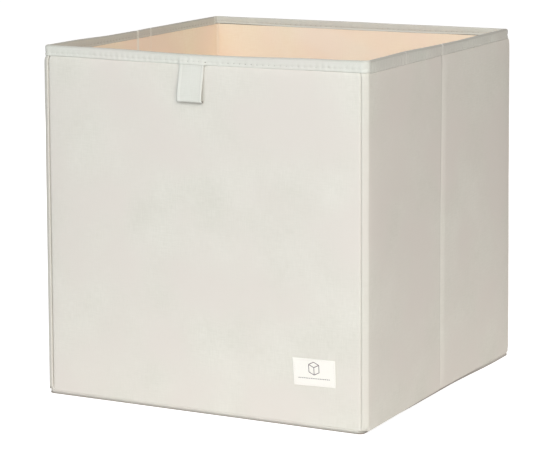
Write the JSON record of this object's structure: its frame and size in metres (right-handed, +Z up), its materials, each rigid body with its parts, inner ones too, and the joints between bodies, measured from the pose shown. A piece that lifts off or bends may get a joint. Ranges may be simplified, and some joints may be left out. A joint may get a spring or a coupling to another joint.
{
  "type": "fabric storage bin",
  "caption": "Collapsible cube storage bin in woven cloth over stiff boards, with creased fold-in side walls, a hinged base insert, a bound rim and a pull tab.",
  "frame": {"origin": "on the floor, under the middle of the bin's square base", "axes": "+Z up, -Y out of the front wall that carries the pull tab and the patch, +X to the right wall"},
  "size_m": [0.33, 0.3375, 0.33],
  "materials": {
    "cover_cloth": "plain-woven polyester, greige, matte",
    "rim_binding_tape": "folded binding of the cover cloth, topstitched",
    "corner_strip_cloth": "folded corner seam of the cover cloth, pressed flat",
    "base_welt_cloth": "folded bottom seam of the cover cloth",
    "base_cloth": "non-woven backing cloth, matte",
    "lining_cloth": "thin peach non-woven lining, matte",
    "greyboard": "pressed grey paperboard stiffener, hidden",
    "patch_tape": "satin-woven patch, ivory",
    "tab_tape": "folded tape of the cover cloth"
  },
  "bodies": {
    "back": {"back_cover": "cover_cloth", "back_board": "greyboard", "back_lining": "lining_cloth", "back_rim_binding": "rim_binding_tape", "back_right_corner_strip": "corner_strip_cloth", "back_left_corner_strip": "corner_strip_cloth", "base_cloth": "base_cloth", "base_welt": "base_welt_cloth"},
    "right_rear": {"right_rear_cover": "cover_cloth", "right_rear_board": "greyboard", "right_rear_lining": "lining_cloth", "right_rear_rim_binding": "rim_binding_tape"},
    "right_front": {"right_front_cover": "cover_cloth", "right_front_board": "greyboard", "right_front_lining": "lining_cloth", "right_front_rim_binding": "rim_binding_tape"},
    "left_rear": {"left_rear_cover": "cover_cloth", "left_rear_board": "greyboard", "left_rear_lining": "lining_cloth", "left_rear_rim_binding": "rim_binding_tape"},
    "left_front": {"left_front_cover": "cover_cloth", "left_front_board": "greyboard", "left_front_lining": "lining_cloth", "left_front_rim_binding": "rim_binding_tape"},
    "front": {"front_cover": "cover_cloth", "front_board": "greyboard", "front_lining": "lining_cloth", "front_rim_binding": "rim_binding_tape", "front_right_corner_strip": "corner_strip_cloth", "front_left_corner_strip": "corner_strip_cloth", "label_patch": "patch_tape"},
    "base_insert": {"insert_under_cloth": "base_cloth", "insert_board": "greyboard", "insert_top_cloth": "lining_cloth"},
    "pull_tab": {"pull_tab": "tab_tape"}
  },
  "joints": [
    {"name": "right_rear_corner_fold", "type": "hinge", "parent": "back", "child": "right_rear", "pos_m": [0.162, 0.1588, 0], "axis": [0, 0, -1], "range_deg": [0, 90], "deforming": ["base_cloth", "base_welt"]},
    {"name": "right_crease_fold", "type": "hinge", "parent": "right_rear", "child": "right_front", "pos_m": [0.165, 0, 0], "axis": [0, 0, 1], "range_deg": [0, 180]},
    {"name": "front_right_corner_fold", "type": "hinge", "parent": "right_front", "child": "front", "pos_m": [0.162, -0.1588, 0], "axis": [0, 0, -1], "range_deg": [0, 90]},
    {"name": "left_rear_corner_fold", "type": "hinge", "parent": "back", "child": "left_rear", "pos_m": [-0.162, 0.1588, 0], "axis": [0, 0, 1], "range_deg": [0, 90]},
    {"name": "left_crease_fold", "type": "hinge", "parent": "left_rear", "child": "left_front", "pos_m": [-0.165, 0, 0], "axis": [0, 0, -1], "range_deg": [0, 180]},
    {"name": "base_insert_flip", "type": "hinge", "parent": "back", "child": "base_insert", "pos_m": [0, 0.1617, 0.0033], "axis": [-1, 0, 0], "range_deg": [0, 90]},
    {"name": "pull_tab_swing", "type": "hinge", "parent": "front", "child": "pull_tab", "pos_m": [-0.007, -0.1662, 0.3205], "axis": [-1, 0, 0], "range_deg": [0, 150]}
  ],
  "couplings": [
    {"joint": "right_crease_fold", "follows": "right_rear_corner_fold", "ratio": 2},
    {"joint": "front_right_corner_fold", "follows": "right_rear_corner_fold", "ratio": 1},
    {"joint": "left_rear_corner_fold", "follows": "right_rear_corner_fold", "ratio": 1},
    {"joint": "left_crease_fold", "follows": "right_rear_corner_fold", "ratio": 2}
  ]
}
